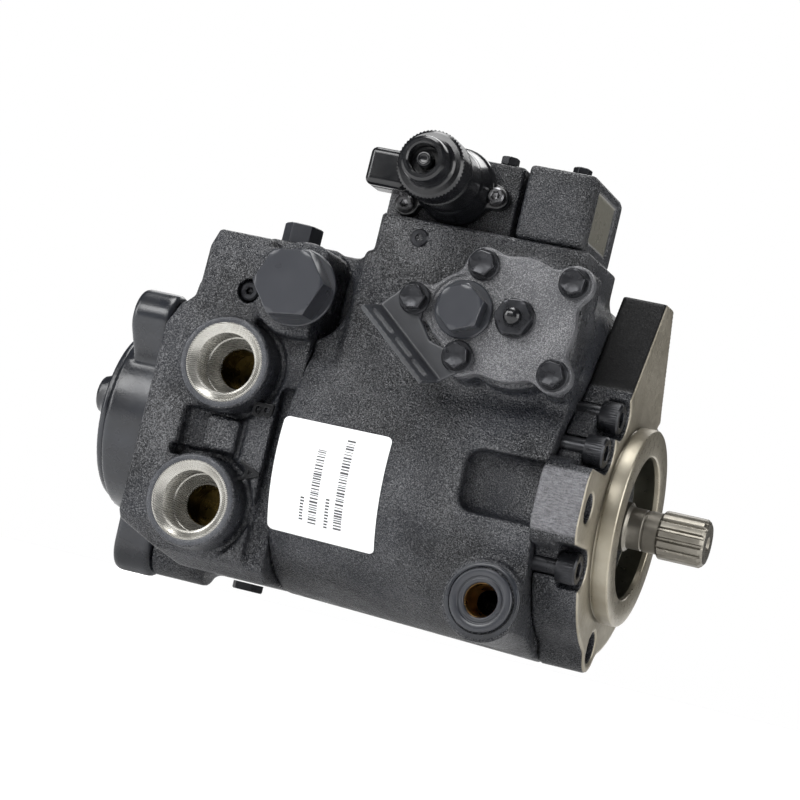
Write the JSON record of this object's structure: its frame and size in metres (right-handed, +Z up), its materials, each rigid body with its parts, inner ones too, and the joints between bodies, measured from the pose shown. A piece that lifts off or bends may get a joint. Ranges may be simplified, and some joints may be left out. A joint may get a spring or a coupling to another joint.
{
  "type": "axial piston pump",
  "caption": "Swash-plate axial piston pump with splined shaft, pilot flange, servo cover, side ports, rear charge pump and a solenoid control with an override button.",
  "frame": {"origin": "centre of the mounting pilot, on the flange face", "axes": "+X along the drive shaft towards its splined end, -Y towards the side with the ports and the servo cover, +Z up to the control"},
  "size_m": [0.3273, 0.2035, 0.2493],
  "materials": {
    "cast_paint": "semi-gloss black paint over a sand-cast skin",
    "machined_paint": "satin black paint over machined faces",
    "bare_iron": "bare machined iron, fine turned lay; painted on the sides",
    "steel": "ground and hardened steel",
    "black_oxide": "black oxide",
    "bronze": "bearing bronze",
    "black_polymer": "glossy moulded black",
    "seal_rubber": "matte",
    "spring_steel": "coiled wire"
  },
  "bodies": {
    "pump": {"bottom_plug": "black_oxide", "case_drain_fitting": "machined_paint", "charge_pump_cover": "cast_paint", "charge_pump_housing": "cast_paint", "charge_pump_screw_1": "black_oxide", "charge_pump_screw_2": "black_oxide", "charge_pump_screw_3": "black_oxide", "control_housing": "machined_paint", "control_screw_1": "black_oxide", "control_screw_2": "black_oxide", "cradle_bearing_1": "bronze", "cradle_bearing_2": "bronze", "end_cover": "cast_paint", "front_bearing": "steel", "front_cover": "bare_iron", "front_cover_screw_1": "black_oxide", "front_cover_screw_2": "black_oxide", "front_cover_screw_3": "black_oxide", "front_cover_screw_4": "black_oxide", "front_cover_screw_5": "black_oxide", "front_cover_screw_6": "black_oxide", "gauge_plug": "black_oxide", "harness_bracket": "machined_paint", "high_pressure_plug": "machined_paint", "limiter_nut": "black_oxide", "limiter_screw": "black_oxide", "main_housing": "cast_paint", "servo_cover": "machined_paint", "servo_cover_bolt_1": "black_oxide", "servo_cover_bolt_2": "black_oxide", "servo_cover_bolt_3": "black_oxide", "servo_cover_bolt_4": "black_oxide", "servo_cover_bolt_5": "black_oxide", "servo_cover_plug": "machined_paint", "shaft_seal": "seal_rubber", "solenoid_body": "black_polymer", "solenoid_connector": "black_polymer", "solenoid_nut": "black_polymer", "top_plug": "machined_paint", "transit_plug": "black_oxide", "valve_plate": "bronze"},
    "shaft": {"drive_shaft": "steel", "cylinder_block": "steel", "block_spring": "spring_steel", "gerotor_inner": "steel"},
    "outer_rotor": {"gerotor_outer": "steel"},
    "swash": {"swash_plate": "steel"},
    "retainer": {"retainer_plate": "steel"},
    "servo": {"servo_piston": "steel"},
    "button": {"override_button": "black_polymer"},
    "spool": {"control_spool": "steel"},
    "piston_1": {"piston_1": "steel"},
    "piston_2": {"piston_2": "steel"},
    "piston_3": {"piston_3": "steel"},
    "piston_4": {"piston_4": "steel"},
    "piston_5": {"piston_5": "steel"},
    "piston_6": {"piston_6": "steel"},
    "piston_7": {"piston_7": "steel"},
    "piston_8": {"piston_8": "steel"},
    "piston_9": {"piston_9": "steel"}
  },
  "joints": [
    {"name": "shaft_spin", "type": "hinge", "parent": "pump", "child": "shaft", "pos_m": [0, 0, 0], "axis": [1, 0, 0], "continuous": true},
    {"name": "gerotor_spin", "type": "hinge", "parent": "pump", "child": "outer_rotor", "pos_m": [0, 0.0021, 0], "axis": [1, 0, 0], "continuous": true},
    {"name": "swash_tilt", "type": "hinge", "parent": "pump", "child": "swash", "pos_m": [-0.092, 0, 0], "axis": [0, 0, 1], "range_deg": [-17, 17], "stiffness_Nm_per_rad": 5},
    {"name": "retainer_spin", "type": "hinge", "parent": "swash", "child": "retainer", "pos_m": [-0.092, 0, 0], "axis": [1, 0, 0], "continuous": true},
    {"name": "servo_slide", "type": "slide", "parent": "pump", "child": "servo", "axis": [0, 1, 0], "range_m": [-0.0109, 0.0109]},
    {"name": "override_press", "type": "slide", "parent": "pump", "child": "button", "axis": [0, 1, 0], "range_m": [0, 0.003], "stiffness_N_per_m": 500, "springref_m": -0.002},
    {"name": "spool_slide", "type": "slide", "parent": "pump", "child": "spool", "axis": [0, 1, 0], "range_m": [0, 0.0031]},
    {"name": "piston_1_stroke", "type": "slide", "parent": "shaft", "child": "piston_1", "axis": [1, 0, 0], "range_m": [-0.0109, 0.0109], "deforming": ["piston_1"]},
    {"name": "piston_2_stroke", "type": "slide", "parent": "shaft", "child": "piston_2", "axis": [1, 0, 0], "range_m": [-0.0109, 0.0109], "deforming": ["piston_2"]},
    {"name": "piston_3_stroke", "type": "slide", "parent": "shaft", "child": "piston_3", "axis": [1, 0, 0], "range_m": [-0.0109, 0.0109], "deforming": ["piston_3"]},
    {"name": "piston_4_stroke", "type": "slide", "parent": "shaft", "child": "piston_4", "axis": [1, 0, 0], "range_m": [-0.0109, 0.0109], "deforming": ["piston_4"]},
    {"name": "piston_5_stroke", "type": "slide", "parent": "shaft", "child": "piston_5", "axis": [1, 0, 0], "range_m": [-0.0109, 0.0109], "deforming": ["piston_5"]},
    {"name": "piston_6_stroke", "type": "slide", "parent": "shaft", "child": "piston_6", "axis": [1, 0, 0], "range_m": [-0.0109, 0.0109], "deforming": ["piston_6"]},
    {"name": "piston_7_stroke", "type": "slide", "parent": "shaft", "child": "piston_7", "axis": [1, 0, 0], "range_m": [-0.0109, 0.0109], "deforming": ["piston_7"]},
    {"name": "piston_8_stroke", "type": "slide", "parent": "shaft", "child": "piston_8", "axis": [1, 0, 0], "range_m": [-0.0109, 0.0109], "deforming": ["piston_8"]},
    {"name": "piston_9_stroke", "type": "slide", "parent": "shaft", "child": "piston_9", "axis": [1, 0, 0], "range_m": [-0.0109, 0.0109], "deforming": ["piston_9"]}
  ],
  "couplings": [
    {"joint": "gerotor_spin", "follows": "shaft_spin", "ratio": 0.85714},
    {"joint": "retainer_spin", "follows": "shaft_spin", "ratio": 1},
    {"joint": "servo_slide", "follows": "swash_tilt", "m_per_rad": 0.03646},
    {"joint": "spool_slide", "follows": "override_press", "ratio": 1},
    {"joint": "piston_1_stroke", "follows": "swash_tilt", "m_per_rad": -0.036065},
    {"joint": "piston_2_stroke", "follows": "swash_tilt", "m_per_rad": -0.027627},
    {"joint": "piston_3_stroke", "follows": "swash_tilt", "m_per_rad": -0.006263},
    {"joint": "piston_4_stroke", "follows": "swash_tilt", "m_per_rad": 0.018032},
    {"joint": "piston_5_stroke", "follows": "swash_tilt", "m_per_rad": 0.03389},
    {"joint": "piston_6_stroke", "follows": "swash_tilt", "m_per_rad": 0.03389},
    {"joint": "piston_7_stroke", "follows": "swash_tilt", "m_per_rad": 0.018032},
    {"joint": "piston_8_stroke", "follows": "swash_tilt", "m_per_rad": -0.006263},
    {"joint": "piston_9_stroke", "follows": "swash_tilt", "m_per_rad": -0.027627}
  ]
}
